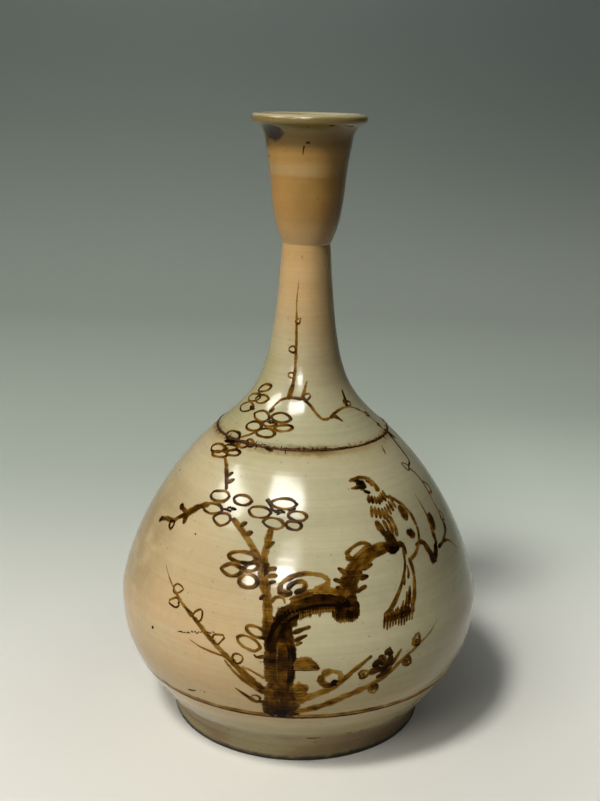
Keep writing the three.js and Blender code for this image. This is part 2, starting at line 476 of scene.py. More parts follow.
def crusty_ring():
    """A spun ring whose outside is pushed out and up or down into lumps and spurs."""
    middle = SEAM[1]
    high, low = middle + CRUST_HALF_HEIGHT, middle - CRUST_HALF_HEIGHT
    brow, rise = CRUST_PROUD * CRUST_SHOULDER[0], CRUST_HALF_HEIGHT * CRUST_SHOULDER[1]
    mesh = turned([
        (inner(BODY_TOP), BODY_TOP),
        (outer(BODY_TOP) - CRUST_ROOT, BODY_TOP),
        (outer(low) - CRUST_TUCK, low),
        (outer(middle) + brow, middle - rise),
        (outer(middle) + CRUST_PROUD, middle),
        (outer(middle) + brow, middle + rise),
        (outer(high) - CRUST_TUCK, high),
        (outer(NECK_BOTTOM) - CRUST_ROOT, NECK_BOTTOM),
        (inner(NECK_BOTTOM), NECK_BOTTOM),
    ])
    around = [edge for edge in mesh.edges if abs(edge.verts[0].co.z - edge.verts[1].co.z) < LEVEL]
    outside = [edge for edge in around if edge.verts[0].co.xy.length > outer(middle) - CRUST_CUT_FROM]
    bmesh.ops.subdivide_edges(mesh, edges=outside, cuts=2, use_grid_fill=True)
    for vertex in mesh.verts:
        if vertex.co.xy.length > outer(middle) - CRUST_SKIN_FROM:
            lump = noise.noise(vertex.co * LUMPS) + 0.6 * noise.noise(vertex.co * CRUMBS)
            below = Vector((vertex.co.x, vertex.co.y, 0)) * SPURS + Vector((7, 0, 0))
            spur = max(noise.noise(below) - 0.15, 0)
            climb = (vertex.co.z - middle) / CRUST_HALF_HEIGHT
            lift = climb * (LUMP_LIFT * lump + SPUR_LIFT * spur + SPREAD)
            vertex.co.z += lift
            vertex.co.xy *= 1 + (LUMP_PROUD * lump + lean(middle) * lift) / vertex.co.xy.length
    for edge in mesh.edges:
        edge.smooth = True
    return mesh


add_piece("shoulder_seam", crusty_ring(), crust_material(), "seam_slip", "shoulder_lute")


# Shoulder and neck
# The second thrown section: a shoulder drawn up between the hands into a slender neck. The slip is greyish on
# the shoulder and warms to ochre up the neck, where the glaze is thinner.

NECK_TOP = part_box("shoulder_and_neck")[1].z


def neck_material():
    surface = Surface("slipped_neck_glaze")
    drift = surface.noise(30, 22, 3.0) - 0.5
    height = surface.height + drift * 0.016 + surface.side * 0.006
    # Painted shade: the right side of the upper neck is darkened in the colour.
    painted_shade_right = surface.side.rise(-0.1, 0.85) * height.rise(0.175, 0.205)
    olive_side = (surface.side + drift).rise(-0.5, -0.9) * height.rise(0.215, 0.19)
    colour = layered(
        srgb(178, 172, 136),
        (height.rise(0.17, 0.2), srgb(177, 164, 128)),
        (height.rise(0.196, 0.236), srgb(190, 157, 109)),
        (surface.height.rise(0.242, 0.254), srgb(184, 149, 97)),
        (painted_shade_right * 0.6, srgb(146, 126, 88)),
        (olive_side, srgb(166, 157, 114)),
    )
    return glazed(surface, seam_stain(surface, colour))


neck_profile = [
    *side(outer, NECK_BOTTOM, NECK_TOP, FINE_STEP),
    *side(inner, NECK_TOP, NECK_BOTTOM, COARSE_STEP),
]
neck_glaze = neck_material()
add_piece("thrown_neck", turned(neck_profile), neck_glaze, "neck_glaze", "shoulder_and_neck")


# Mouth lute
# The joining slip at the waist, where the cup was set on the neck. It was wiped into the angle between them
# and glazed over, so it shows only as the sharp line of the waist.

CUP_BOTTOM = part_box("cup_mouth")[0].z
WAIST_STEP = 0.0003
WAIST_INNER_STEP = 0.0006
waist_profile = [
    *side(outer, NECK_TOP, CUP_BOTTOM, WAIST_STEP),
    *side(inner, CUP_BOTTOM, NECK_TOP, WAIST_INNER_STEP),
]
add_piece("waist_joint", turned(waist_profile), neck_glaze, "neck_glaze", "mouth_lute")


# Cup mouth
# The third thrown section: a cup that flares to an everted lip, rolled over into a bead. Its slip was poured,
# and it is thin and ochre, with one paler band and a smoky stain under the lip.

CUP_STEP = 0.0012
CUP_INNER_STEP = 0.002
SMOKE_ANGLE = -0.86
SMOKE_HEIGHT = 0.3108


def cup_material():
    surface = Surface("ochre_cup_glaze")
    drift = surface.noise(40, 60, 3.0) - 0.5
    height = surface.height + drift * 0.004
    colour = surface.noise(26, 50).rise(0.35, 0.7).mix(srgb(144, 107, 48), srgb(156, 119, 58))
    pale_band = height.rise(0.2895, 0.2915) * height.rise(0.2985, 0.295)
    pale_band = pale_band * (surface.side.rise(0.8, -0.1) * 0.5 + 0.3)
    beside = (surface.angle - SMOKE_ANGLE) * 3.4
    above = (surface.height - SMOKE_HEIGHT) * 230
    ragged = (surface.noise(150, 150, 4.0) - 0.5) * 2.4
    smoke = (beside * beside + above * above + drift * 3 + ragged).rise(1.4, 0.5)
    colour = layered(
        colour,
        (surface.side.rise(-0.1, -0.8), srgb(164, 124, 66)),
        (height.rise(0.274, 0.258), srgb(172, 138, 90)),
        (pale_band, srgb(165, 135, 85)),
        # Painted shade: darker bands just under the lip, where its overhang shades the cup.
        (height.rise(0.3, 0.307), srgb(102, 78, 30)),
        (surface.height.rise(0.3085, 0.3135), srgb(108, 92, 48)),
        # Painted shade: the right side of the cup is darkened.
        (surface.side.rise(0.1, 0.85) * 0.65, srgb(104, 74, 14)),
        (smoke, srgb(34, 14, 0)),
        # The bead: darker below as painted shade, and paler along its top as painted light where it faces up.
        (surface.height.rise(0.3148, 0.3156), srgb(124, 106, 60)),
        ((surface.height + drift * 0.002).rise(0.3182, 0.3195), srgb(172, 162, 128)),
    )
    return glazed(surface, colour)


cup_profile = [
    *side(outer, CUP_BOTTOM, UNDER_LIP[1], CUP_STEP)[:-1],
    *arc((LIP_RADIUS - LIP_BEAD, LIP_HEIGHT - LIP_BEAD), LIP_BEAD, range(-90, 151, 12)),
    *side(inner, UNDER_LIP[1], CUP_BOTTOM, CUP_INNER_STEP),
]
add_piece("flared_cup", turned(cup_profile), cup_material(), "cup_glaze", "cup_mouth")


# Painted band
# A turn of the brush round the pot and a fainter one above it, laid on the slip while the wheel ran, just
# above where the glaze ends. Like all the painting they are iron pigment in water: ochre where it is thin,
# near black where it lies thick.

BAND_HEIGHT = 36.8
BAND_WANDER = 0.5
UPPER_BAND_RISE = 1.5
PIGMENT_DEPTH = 0.000045
LAYER_DEPTH = 0.000001
EDGE_SUNK = 0.00001
ROOT_DEPTH = 0.0003
BLEEDING = 1.08
WIDTH_WANDER = 0.3
LOAD_WANDER = 0.4
EDGE_WANDER = 0.2
PATH_POINTS = 12
STROKE_STEP = 0.0011
ROW_WIDTH = 1.8
EYE_DABS = 6
PETAL_SIDE = ((-1.1, -0.2), (-0.74, 0.62), (0.0, 1.0), (0.72, 0.7), (1.12, -0.24))
BUD_LOOP = ((0.0, 0.1), (0.3, 0.42), (0.7, 0.38), (1.2, 0.02), (0.7, -0.34), (0.3, -0.38), (0.0, -0.06))


def pigment_material():
    surface = Surface("iron_pigment")
    along, across, load, grain = (
        surface.node("Attribute", {"attribute_name": name}, output="Fac")
        for name in ("along", "across", "load", "grain")
    )
    place = surface.node("CombineXYZ", inputs={0: along * 0.12, 1: across + grain * 40, 2: grain * 9})
    bristles = surface.noise(2.6, 1.0, 3.0, place) - 0.5
    pooling = surface.noise(190, 260, 3.0) - 0.5
    wheel_lines = surface.noise(7, 1000, 2.0) - 0.5
    edge = abs(across).rise(0.35, 1.0)
    tone = load + bristles * 0.55 + pooling * 0.7 + wheel_lines * 0.5 - edge * 0.32
    stops = (
        (0.0, srgb(162, 130, 64)), (0.18, srgb(138, 101, 36)), (0.41, srgb(102, 69, 17)),
        (0.64, srgb(60, 36, 7)), (0.96, srgb(17, 8, 2)),
    )
    colour = surface.node("ValToRGB", {"stops": stops}, {0: tone})
    ragged_side = (abs(across) + bristles * 0.4).rise(1.03, 0.62)
    cover = (tone + 0.12).rise(0.0, 0.3) * ragged_side
    surface.tree.links.new(cover.socket, surface.shader.inputs["Alpha"])
    return surface.finish(colour, pooling * 0.1 + 0.14, pooling, 0.00008, 0.025)


pigment = pigment_material()


def on_pot(angle, height, lift=0.0):
    """The point of the skin at an angle in radians from the front and a height, lifted square to the skin."""
    around = Vector((math.sin(angle), -math.cos(angle), 0))
    foot_point = around * outer(height) + Vector((0, 0, height))
    out = (around - Vector((0, 0, lean(height)))).normalized()
    return foot_point + around * finger_rings(foot_point) + out * lift


def smooth_path(points):
    """A curve through (angle, height) points, as close points."""
    path = []
    for i in range(len(points) - 1):
        first, second = points[i], points[i + 1]
        before, after = points[max(i - 1, 0)], points[min(i + 2, len(points) - 1)]
        leaving, arriving = first + (second - before) / 6, second - (after - first) / 6
        path += interpolate_bezier(first, leaving, arriving, second, PATH_POINTS)
    return path


def three(values, share):
    """The value at a share of the way through three values: start, middle and end."""
    start, middle, end = values
    return start + (middle - start) * 2 * share if share < 0.5 else middle + (end - middle) * (2 * share - 1)


def near(angle, height, right, up):
    """The (degrees, mm) of a point so many millimetres right of and above another, along the skin."""
    steepness = math.hypot(1, lean(height / 1000))
    return angle + math.degrees(right / (1000 * outer(height / 1000))), height + up / steepness


def beyond(angle, height, along, off, turn):
    """The (degrees, mm) of a point so far along a line that leaves a place at a turn, and so far off it."""
    right = along * math.cos(turn) - off * math.sin(turn)
    return near(angle, height, right, along * math.sin(turn) + off * math.cos(turn))


class Painting:
    """Brushwork on the skin. Each stroke is a thin lens of pigment, its edges sunk just under the slip."""

    def __init__(self, seed):
        self.mesh = bmesh.new()
        self.random = random.Random(seed)
        names = ("along", "across", "load", "grain", "lift")
        self.layers = {name: self.mesh.verts.layers.float.new(name) for name in names}
        self.lift = PIGMENT_DEPTH + 5 * LAYER_DEPTH * seed

    def stroke(self, points, widths, loads, fineness=1.0):
        """One stroke through (degrees, mm) points, with widths in mm and loads of pigment at three places."""
        turns = [Vector((math.radians(degrees), height / 1000)) for degrees, height in points]
        path = [on_pot(*place) for place in smooth_path(turns)]
        reached = [0.0]
        for first, second in zip(path, path[1:]):
            reached.append(reached[-1] + (second - first).length)
        total = reached[-1]
        steps = max(8, math.ceil(total / STROKE_STEP * fineness))
        rows = max(4, 2 * math.ceil(max(widths) / ROW_WIDTH / 2))
        grain = self.random.random()
        mesh_points = bmesh.ops.create_grid(self.mesh, x_segments=steps, y_segments=rows, size=1.0)["verts"]
        for column in range(steps + 1):
            share = (1 - math.cos(math.pi * column / steps)) / 2
            gone = total * share
            after = min(max(bisect_left(reached, gone), 1), len(path) - 1)
            part = (gone - reached[after - 1]) / max(reached[after] - reached[after - 1], 1e-9)
            centre = path[after - 1].lerp(path[after], part)
            ahead = (path[min(after + 1, len(path) - 1)] - path[max(after - 2, 0)]).normalized()
            out = Vector((centre.x, centre.y, 0)).normalized() - Vector((0, 0, lean(centre.z)))
            across = out.cross(ahead).normalized()
            half = BLEEDING * three(widths, share) / 2000
            to_end = min(gone, total - gone) / half
            half *= max(math.sqrt(1 - (1 - min(to_end, 1)) ** 2), 0.1)
            half *= 1 + WIDTH_WANDER * noise.noise(Vector((gone * 240, grain * 30, 5)))
            load = three(loads, share) + LOAD_WANDER * noise.noise(Vector((gone * 130, grain * 50, 0)))
            for row in range(rows + 1):
                reach = 2 * row / rows - 1
                ragged = 1 + EDGE_WANDER * noise.noise(Vector((gone * 480, reach * 3, grain * 70)))
                place = centre + across * half * reach * ragged
                sink = 1 - (1 - reach * reach) ** 2
                point = mesh_points[row * (steps + 1) + column]
                lift = self.lift * (1 - sink) - EDGE_SUNK * sink
                point.co = on_pot(math.atan2(place.x, -place.y), place.z, -ROOT_DEPTH)
                values = {"along": gone * 1000, "across": reach, "load": load, "grain": grain, "lift": lift}
                for name, value in values.items():
                    point[self.layers[name]] = value
        self.lift += LAYER_DEPTH

    def strokes(self, *rows):
        """Strokes one after another, each given as its points, widths and loads."""
        for row in rows:
            self.stroke(*row)

    def tick(self, start, end, width=2.5, load=0.5):
        """A short dab from one point to another, fuller where the brush came down."""
        middle = ((start[0] + end[0]) / 2, (start[1] + end[1]) / 2 + 0.2)
        self.stroke([start, middle, end], (width, width * 1.1, width * 0.8), (load + 0.1, load, load + 0.2))

    def petal(self, middle, wide, tall, tilt, width, load):
        """An almond-shaped petal: two lines of the brush that part at one tip and meet again at the other."""
        turn = math.radians(tilt)
        for side in (1, -1):
            line = []
            for along, off in PETAL_SIDE:
                along *= wide * self.random.uniform(0.94, 1.06)
                off *= side * tall * self.random.uniform(0.84, 1.16)
                line.append(beyond(*middle, along, off, turn))
            swell = self.random.uniform(0.75, 1.2)
            self.stroke(line, (width, width * swell, width * 1.15), (load + 0.2, load - 0.04, load + 0.28))

    def eye(self, angle, height, size, load=0.9):
        """The dark middle of a blossom: dabs of the brush's tip that run together, with no two alike."""
        draw = self.random.uniform
        for i in range(EYE_DABS):
            aim = math.tau * (i + draw(-0.3, 0.3)) / EYE_DABS
            reach = size * draw(0.6, 1.3)
            root = near(angle, height, reach * 0.25 * math.cos(aim + 1), reach * 0.15 * math.sin(aim + 1))
            tip = near(angle, height, reach * math.cos(aim), reach * 0.6 * math.sin(aim))
            widths = (draw(1.5, 2.2), draw(1.2, 2.0), 0.8)
            self.stroke([root, tip], widths, (load, load - 0.1, load - draw(0.1, 0.4)))

    def bud(self, angle, height, size, aim_degrees, width=1.3, load=0.36, filled=False):
        """A small loop that grows from its dark foot at (angle, height). A filled bud has a dab inside."""
        aim = math.radians(aim_degrees)
        loop = []
        for along, off in BUD_LOOP:
            along = along * self.random.uniform(0.9, 1.1) * size
            off = off * self.random.uniform(0.85, 1.15) * size
            loop.append(beyond(angle, height, along, off, aim))
        self.stroke(loop, (width * 1.1, width * 0.9, width * 1.1), (load + 0.25, load, load + 0.3))
        root = beyond(angle, height, size * 0.25, 0, aim)
        self.stroke([(angle, height), root], (width * 1.8, width * 1.6, width * 0.9), (0.85, 0.8, 0.6))
        if filled:
            heart = beyond(angle, height, size * 0.75, 0, aim)
            self.stroke([root, heart], (size * 0.6, size * 0.85, size * 0.6), (0.7, 0.5, 0.6))

    def done(self, name, material, slot="iron_brown"):
        """Raise every stroke out of the wall to its own height, closed all round, and make the piece."""
        grown = bmesh.ops.extrude_face_region(self.mesh, geom=self.mesh.faces[:], use_keep_orig=True)["geom"]
        for point in grown:
            if isinstance(point, bmesh.types.BMVert):
                angle = math.atan2(point.co.x, -point.co.y)
                out = on_pot(angle, point.co.z, 1) - on_pot(angle, point.co.z)
                point.co += out * (point[self.layers["lift"]] + ROOT_DEPTH)
        bmesh.ops.recalc_face_normals(self.mesh, faces=self.mesh.faces)
        add_piece(name, self.mesh, material, slot)


band = Painting(seed=1)
turn_points = [
    (degrees, BAND_HEIGHT + BAND_WANDER * math.sin(math.radians(degrees * 2 + 40)))
    for degrees in range(-181, 182, 10)
]
upper_turn = [(degrees, height + UPPER_BAND_RISE) for degrees, height in turn_points]
band.stroke(upper_turn, (3.0, 2.8, 3.0), (0.16, 0.3, 0.16), fineness=0.8)
band.stroke(turn_points, (1.9, 1.8, 2.1), (0.42, 0.62, 0.42), fineness=0.8)
band.done("painted_band", pigment)


# Plum trunk
# An old trunk rising from the band at the front, arching right to a black knot. It is laid in with a wide
# brush in a thin wash, gone over with loaded strokes along the shaded sides, and fringed with dry strokes.

ARCH_FRINGE = 23
KNOT_FRINGE = 15

trunk = Painting(seed=2)
trunk.strokes(
    ([(-4.4, 36.6), (-4.5, 50), (-5, 64), (-5.2, 76), (-4.8, 85)], (21, 18.5, 17), (0.85, 0.7, 0.7)),
    ([(-7.2, 74), (-6.4, 84), (-4, 90), (0, 95.4), (5, 98), (13, 98)], (10, 13.5, 12), (0.8, 0.86, 0.8)),
    ([(-7.4, 37.4), (-7.4, 46), (-7.6, 56)], (12, 11, 6), (0.85, 0.72, 0.4)),
    ([(-1.8, 37.2), (-1.7, 47), (-1.9, 58)], (12, 10, 7), (0.85, 0.78, 0.55)),
    ([(-5, 38), (-5.2, 44), (-5, 50)], (8, 7, 4), (0.95, 0.85, 0.5)),
    ([(-8.6, 78.4), (-7.6, 84), (-5.4, 89.4), (-2.4, 93.4), (2.4, 95.8), (8, 96.8), (12.4, 96.4)],
     (6.4, 8.4, 6.4), (1.0, 1.25, 1.1)),
    ([(-6.4, 78), (-4.8, 86), (-2.2, 90.8), (1.4, 93.8), (5, 95.2)], (5, 4.6, 3.4), (0.9, 0.95, 0.8)),
    ([(4, 98.4), (8, 98.6), (12.4, 97.4)], (2.4, 4.4, 6), (0.6, 0.85, 0.95)),
    ([(-2.6, 54), (-2.0, 64), (-1.8, 74), (-2.6, 82), (-2.8, 88)], (4, 6.4, 4.5), (0.75, 0.98, 0.8)),
    ([(-5.4, 60), (-5.8, 70), (-5.6, 80)], (2.4, 3.2, 2.4), (0.4, 0.55, 0.7)),
    ([(3, 102.6), (8, 103), (13.6, 101.8)], (2.6, 4.4, 3.4), (0.2, 0.28, 0.5)),
)
for start, middle, end, width, load in (
    ((11.2, 99.4), (14.6, 99), (18.4, 98.4), 9, 0.85), ((10.8, 96), (14.6, 94.6), (18.9, 96.6), 11, 1.0),
    ((14.4, 99.6), (15.2, 95), (14.6, 91.6), 10, 1.0), ((11.9, 93.2), (14.8, 91.2), (18.0, 93.6), 5, 0.9),
    ((12, 97), (14.8, 95.6), (17.6, 95.8), 7.5, 1.35),
):
    trunk.stroke([start, middle, end], (width * 0.75, width, width * 0.75), (load - 0.1, load, load - 0.15))
for i in range(ARCH_FRINGE):
    angle = 0.4 + i * 0.5
    top = 96.2 - 0.034 * (angle - 8.5) ** 2
    length = trunk.random.uniform(2.0, 3.6)
    trunk.stroke([(angle, top), (angle + 0.05, top - length)], (0.8, 0.7, 0.5), (0.6, 0.45, 0.15))
for i in range(KNOT_FRINGE):
    angle = 10.4 + i * 0.58
    low = 89.4 + 0.12 * (angle - 14.6) ** 2
    tip = (angle, low - trunk.random.uniform(0.2, 1.6))
    trunk.stroke([(angle, low + 3), tip], (1.5, 1.4, 0.9), (0.85, 0.7, 0.45))
trunk.tick((-1.6, 84.4), (3.8, 87.6), 2.4, 0.45)
trunk.tick((-1, 80.8), (2.8, 83.8), 2.2, 0.5)
trunk.tick((-0.6, 79), (1.4, 80.4), 1.8, 0.5)
trunk.done("painted_trunk", pigment)


# Boughs and twigs
# Single strokes pulled away from the trunk, thick and dark where the brush was set down and thin where it
# lifted, with pricks of thorn along them. They climb the neck on one side and reach round the shoulder.

boughs = Painting(seed=3)
boughs.strokes(
    ([(-9.4, 80), (-9, 88), (-9.8, 98), (-11.4, 106), (-12.4, 112)], (5.4, 5.4, 6), (0.62, 0.36, 0.5)),
    ([(-12.4, 110), (-12.2, 117), (-11.8, 122), (-11.2, 128.5)], (5.4, 4.4, 3.6), (0.6, 0.38, 0.42)),
    ([(-12.6, 112.5), (-15.4, 117), (-18.8, 122), (-23.4, 126.6), (-27.8, 130)],
     (4.4, 3.6, 3.6), (0.5, 0.36, 0.6)),
    ([(-12.6, 114.4), (-11.6, 111.4), (-11.4, 108)], (5.4, 6.4, 5), (0.7, 0.85, 0.6)),
    ([(14.4, 98), (15.6, 105), (18.2, 111), (22, 115.4), (28.5, 118), (34.4, 118)],
     (10.5, 8, 6.4), (0.6, 0.4, 0.6)),
    ([(16.8, 100), (18.4, 106.6), (21.4, 112), (26.5, 115.8), (32, 117)], (6, 4.4, 4), (0.72, 0.5, 0.62)),
    ([(16, 117), (18.6, 115.4), (21, 117.6), (25, 120)], (4, 2.4, 2.2), (0.5, 0.3, 0.4)),
    ([(16, 117.4), (19.4, 120.4), (23.4, 121.6), (26.4, 119.6)], (2.6, 2, 2.4), (0.4, 0.25, 0.4)),
    ([(37.2, 118.2), (39.8, 116.8), (40, 112.6)], (4.4, 3, 1.6), (0.7, 0.5, 0.45)),
    ([(45.4, 115), (49.4, 115.4), (51.2, 111.6), (52.4, 107)], (2.2, 3.6, 5), (0.42, 0.5, 0.85)),
    ([(51.6, 106.4), (54.4, 107.4), (57, 112)], (4.4, 4.4, 4), (0.85, 0.85, 0.8)),
    ([(57.4, 111), (58.2, 118), (59.2, 125), (58.6, 134.5)], (4, 1.9, 0.8), (0.85, 0.45, 0.2)),
    ([(57.5, 109.5), (62.5, 110.5), (68, 114), (69.6, 120), (70, 127)], (2.4, 2.2, 1.4), (0.7, 0.5, 0.35)),
    ([(70, 127), (71, 133), (70.6, 139.5), (67, 145)], (1.4, 1.4, 1.5), (0.35, 0.35, 0.5)),
    ([(62, 110.4), (66, 109.4), (69, 106.6), (72, 102)], (2.2, 1.6, 0.9), (0.6, 0.35, 0.15)),
    ([(68, 145), (73, 146), (74.8, 150), (76, 154.5), (79, 159.6)], (1.4, 1.9, 2.8), (0.4, 0.6, 0.85)),
    ([(-40.5, 133), (-45, 130.7), (-48, 128), (-50, 125.5), (-49.5, 121)],
     (3.0, 4.6, 3.6), (0.4, 0.5, 0.6)),
    ([(-49.5, 126), (-53, 126.5), (-57, 127.6)], (3.2, 2.8, 4.4), (0.5, 0.5, 0.85)),
    ([(-50, 125.5), (-54, 122.6), (-56, 120.2), (-61, 119.2), (-65, 117.2)],
     (3.4, 2.8, 3.4), (0.55, 0.45, 0.7)),
    ([(-63.4, 118.6), (-64.8, 117.4), (-65.6, 115.4)], (2.8, 4.0, 3.0), (0.7, 0.85, 0.7)),
    ([(-48, 152.6), (-43, 149.6), (-38.6, 145), (-35.4, 140.2)], (1.8, 2.6, 2.4), (0.4, 0.42, 0.5)),
    ([(-14.6, 239), (-17.2, 229), (-15.4, 217), (-13.4, 204), (-12.6, 192)],
     (0.6, 1.4, 2), (0.05, 0.36, 0.45)),
    ([(-12.6, 193), (-13.6, 187.4), (-15.4, 183), (-16.2, 179.8)], (1.9, 2.5, 3), (0.45, 0.55, 0.85)),
    ([(4.6, 189), (1.6, 185), (-1, 180.4)], (0.9, 1.7, 2.4), (0.3, 0.5, 0.8)),
    ([(-34, 173.6), (-29.5, 177), (-23, 179.8), (-12, 180.8), (0, 180.4)],
     (1.0, 1.8, 2.2), (0.25, 0.4, 0.7)),
    ([(0, 180.4), (7, 178), (12.6, 174.4), (18, 171.6), (25, 171.8)], (2, 1.7, 2.2), (0.6, 0.35, 0.5)),
    ([(25, 171.8), (32, 173.6), (43, 175), (56, 174.4), (67, 171.4)], (2.2, 1.5, 1.4), (0.55, 0.35, 0.3)),
    ([(67, 171.4), (74, 167.6), (76, 163.6), (76, 160)], (1.4, 1.2, 1.3), (0.35, 0.35, 0.4)),
    ([(24.6, 171.8), (31, 172.2), (36.8, 169.6)], (1.8, 2.6, 1.2), (0.5, 0.75, 0.5)),
    ([(49.6, 174.8), (52.6, 178.4), (54.6, 183)], (2.6, 2.6, 1.2), (0.75, 0.85, 0.6)),
)
for start, end in (
    ((-10.6, 111), (-7.4, 112)), ((-10.4, 108.2), (-7.0, 109)), ((-9.8, 105.4), (-7.4, 106.4)),
    ((-12, 119.6), (-9.2, 123)), ((-38.6, 145.4), (-36, 147.6)), ((-36.8, 142.8), (-33.6, 145.2)),
    ((-15.4, 118.6), (-17.8, 117.2)), ((-20.5, 124.2), (-17.8, 125.8)), ((-23.6, 127.2), (-21, 129.4)),
    ((21.6, 110.2), (25.6, 112.4)), ((20, 106.6), (23.4, 107.6)), ((18.6, 101.2), (22.2, 103.6)),
    ((16, 108.8), (12.8, 112.4)), ((15, 105.4), (11, 107.6)), ((14, 103), (11.6, 104.2)),
    ((-14.8, 140), (-12.6, 137)), ((-12.2, 98), (-10.6, 100.4)), ((50.4, 176), (49, 178.6)),
):
    boughs.tick(start, end)
boughs.strokes(
    ([(61.4, 125), (60.6, 121), (59.6, 116.8)], (4, 6.4, 4), (0.6, 0.9, 0.7)),
    ([(70.4, 116.6), (69, 114.6), (67.4, 112.4)], (2, 3.2, 2.6), (0.7, 0.8, 0.7)),
    ([(51, 108.4), (52.6, 106), (54.2, 107)], (4.4, 6, 4.4), (0.9, 0.95, 0.85)),
)
boughs.done("painted_boughs", pigment)


# Low sprays
# Two pairs of young shoots that fan out left and right from the foot of the trunk, above the band.
# Each is one long stroke, watery brown near the trunk and drawn to a hair at its tip.

sprays = Painting(seed=4)
sprays.strokes(
    ([(-9.2, 52.6), (-14.4, 61), (-21, 70.4), (-27.6, 78.4), (-33, 84.4)], (6, 3.2, 2.6), (0.5, 0.34, 0.5)),
    ([(-33, 84.4), (-38, 88.4), (-42.6, 93), (-46.4, 97), (-49.8, 101.4)],
     (2.6, 1.6, 0.6), (0.45, 0.3, 0.1)),
    ([(-9.6, 54), (-14, 57.2), (-17.6, 61.4), (-21.4, 68)], (3, 2.2, 1.4), (0.4, 0.26, 0.2)),
    ([(-17.6, 68.6), (-23, 70), (-29, 71.4), (-34, 74)], (1.2, 1.4, 0.8), (0.2, 0.28, 0.15)),
    ([(-9.2, 61), (-12.4, 64), (-16, 66.4)], (1.6, 1.7, 1.4), (0.3, 0.22, 0.25)),
    ([(-9.8, 47.6), (-12.4, 46.8), (-14.8, 49.6), (-18.4, 53.4)], (2.6, 2.4, 1), (0.6, 0.6, 0.25)),
    ([(-0.4, 41.6), (8, 46), (15, 51.2), (22, 55.6), (27.4, 60)], (4.6, 4.2, 3.4), (0.5, 0.32, 0.4)),
    ([(27, 59.6), (32, 65.6), (38, 71.2), (43, 75), (47, 79.6)], (3.2, 2, 0.6), (0.42, 0.3, 0.1)),
    ([(-0.4, 48.2), (5.6, 53.2), (10, 56.6), (13.4, 61), (16.6, 65.4), (21.8, 71.8)],
     (5.4, 4, 1.8), (0.5, 0.34, 0.45)),
    ([(26.8, 62.4), (29.4, 66.8), (31.6, 72)], (2.2, 2, 1.4), (0.5, 0.4, 0.35)),
)
for place in (
    (-43.4, 93.2, 5.6, 15), (-39.2, 88.2, 6, 190), (-32.4, 82.8, 6.4, 62), (-25.4, 75.8, 5.6, 30),
    (-18.8, 68.6, 5.4, 25), (-10.6, 48.4, 4.6, 160),
):
    sprays.bud(*place)
for place in ((22.4, 55.8, 5.4, -70), (32.6, 65.8, 5.2, -40), (18, 61.6, 4.6, 20), (36.8, 71, 5, 70)):
    sprays.bud(*place, width=2.2, filled=True)
sprays.done("painted_sprays", pigment)


# Plum blossom and buds
# Open blossoms are looped petals round a dark, broken eye, and each petal is wider than it is tall.
# A bud is one small loop with a dark foot.

blossoms = Painting(seed=5)
for width, load, petals in (
    (1.5, 0.44, (
        ((-54.3, 182.7), 4.8, 1.9, 26), ((-65.4, 177.0), 5.8, 2.4, 13), ((-50.6, 177.8), 4.8, 2.4, 10),
        ((-66.5, 172.2), 6.4, 2.7, 12),
    )),
    (1.7, 0.45, (
        ((-39.7, 171.1), 5.1, 3.0, -3), ((-19.8, 171.7), 5.2, 2.6, -4), ((-40.9, 166.4), 4.8, 2.7, 8),
        ((-28.5, 168.6), 3.8, 1.6, 4), ((-15.2, 167.6), 4.7, 2.0, 9), ((-28.3, 164.9), 5.2, 2.6, 2),
    )),
    (1.8, 0.52, (
        ((-53.5, 160.6), 5.2, 3.0, 1), ((-57.6, 154.0), 5.4, 2.7, 10), ((-47.8, 156.3), 4.5, 1.7, 9),
        ((-52.4, 152.4), 5.6, 1.9, 12), ((-43.2, 154.7), 4.1, 1.8, 13), ((-40.6, 158.8), 3.3, 1.9, -4),
        ((-35.9, 159.9), 2.8, 1.9, -31),
    )),
    (1.7, 0.42, (
        ((-37.7, 137.2), 5.4, 3.1, 10), ((-25.8, 137.8), 4.8, 2.9, 1), ((-38.5, 131.6), 6.1, 2.6, 5),
        ((-32.3, 128.6), 4.9, 3.2, 5),
    )),
    (1.7, 0.42, (
        ((-16.9, 134.3), 5.6, 3.0, 2), ((-7.4, 138.4), 6.1, 2.7, 1), ((-1.3, 133.9), 4.5, 2.5, -5),
        ((-10.6, 130.4), 5.0, 2.8, -1), ((-2.6, 130.1), 3.7, 2.3, -3),
    )),
    (2.3, 0.42, (
        ((-20.1, 114.8), 7.0, 2.6, 2), ((-23.0, 108.8), 5.4, 2.8, 2), ((-16.6, 105.2), 4.6, 3.0, 7),
        ((-16.2, 111.2), 3.6, 1.8, 20),
    )),
    (1.8, 0.36, (((-12.4, 84.0), 5.0, 2.3, -14), ((-14.2, 78.4), 5.8, 3.0, -16))),
):
    for petal in petals:
        blossoms.petal(*petal, width, load)
for eye in (
    (-27, 169.4, 2.0), (-51, 158.2, 2.6), (-50.4, 155.2, 1.8), (-30.4, 133.2, 3.4), (-8.6, 135.2, 3.0),
    (-19.4, 110.4, 2.6), (-10.4, 81.4, 1.6),
):
    blossoms.eye(*eye)
